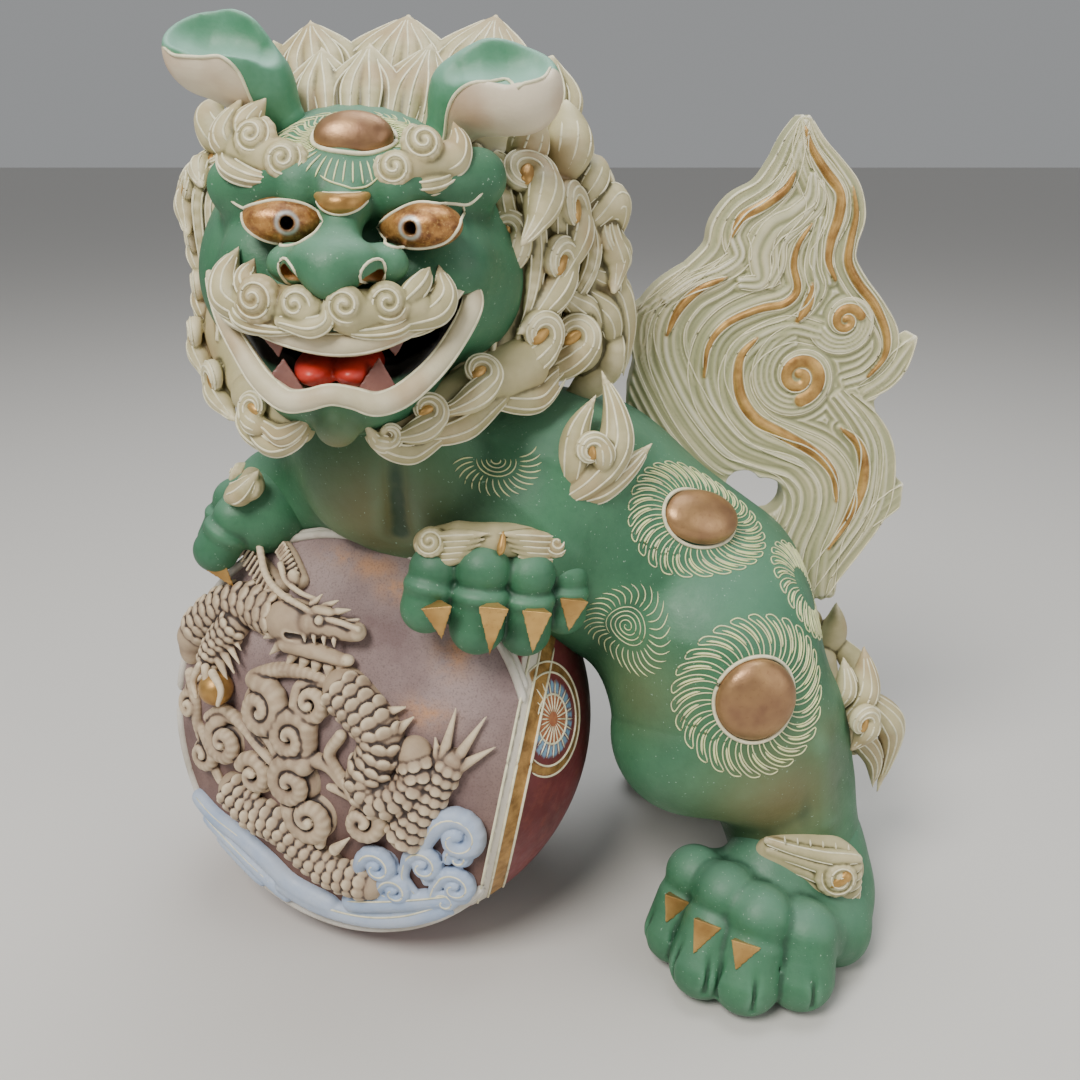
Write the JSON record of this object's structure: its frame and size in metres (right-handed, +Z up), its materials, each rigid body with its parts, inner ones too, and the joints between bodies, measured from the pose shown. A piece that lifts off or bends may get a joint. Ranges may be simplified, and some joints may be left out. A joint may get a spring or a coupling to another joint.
{
  "type": "guardian lion statue",
  "caption": "Standing glazed guardian lion with forepaws on a relief-decorated ball, scrolled mane and a flame-shaped tail, for display on a shelf or table.",
  "frame": {"origin": "centre of the statue's box at the level of the surface it stands on", "axes": "+Z up, the lion's face looks towards -Y, its chest towards -X and its tail towards +X"},
  "size_m": [0.2821, 0.1963, 0.3249],
  "materials": {
    "green_glaze": "satin",
    "cream_relief": "satin",
    "tail_flame_cream": "satin",
    "gilt": "satin",
    "tongue_red": "gloss",
    "fang_mauve": "satin",
    "ball_red": "satin",
    "panel_brown": "matte",
    "bisque_relief": "matte",
    "wave_blue": "satin"
  },
  "bodies": {
    "root": {"torso_shell": "green_glaze", "head_shell": "green_glaze", "lower_jaw": "cream_relief", "upper_lip": "cream_relief", "upper_fangs": "fang_mauve", "lower_fangs": "fang_mauve", "tongue": "tongue_red", "nose": "green_glaze", "eye_left": "gilt", "eye_right": "gilt", "forehead_boss": "gilt", "bridge_bar": "gilt", "brow_left": "cream_relief", "brow_right": "cream_relief", "moustache_left": "cream_relief", "moustache_right": "cream_relief", "ear_left": "green_glaze", "ear_right": "green_glaze", "mane_top": "cream_relief", "mane_left": "cream_relief", "mane_right": "cream_relief", "mane_back": "cream_relief", "beard_left": "cream_relief", "beard_right": "cream_relief", "foreleg_near": "green_glaze", "foreleg_far": "green_glaze", "paw_near": "green_glaze", "paw_far": "green_glaze", "claws_near": "gilt", "claws_far": "gilt", "cuff_near": "cream_relief", "cuff_far": "cream_relief", "shoulder_flame_near": "cream_relief", "shoulder_flame_far": "cream_relief", "hind_leg_near": "green_glaze", "hind_leg_far": "green_glaze", "hind_foot_near": "green_glaze", "hind_foot_far": "green_glaze", "hind_claws_near": "gilt", "hind_claws_far": "gilt", "hock_flame_near": "cream_relief", "hock_flame_far": "cream_relief", "ankle_shell_near": "cream_relief", "ankle_shell_far": "cream_relief", "rump_boss": "gilt", "thigh_boss_near": "gilt", "thigh_boss_far": "gilt", "tail_flame": "tail_flame_cream", "ball_shell": "ball_red", "ball_panel": "panel_brown", "panel_rim": "gilt", "ball_flower": "gilt", "dragon_head": "bisque_relief", "dragon_body": "bisque_relief", "clouds": "bisque_relief", "waves": "wave_blue", "pearl": "gilt"}
  },
  "joints": []
}
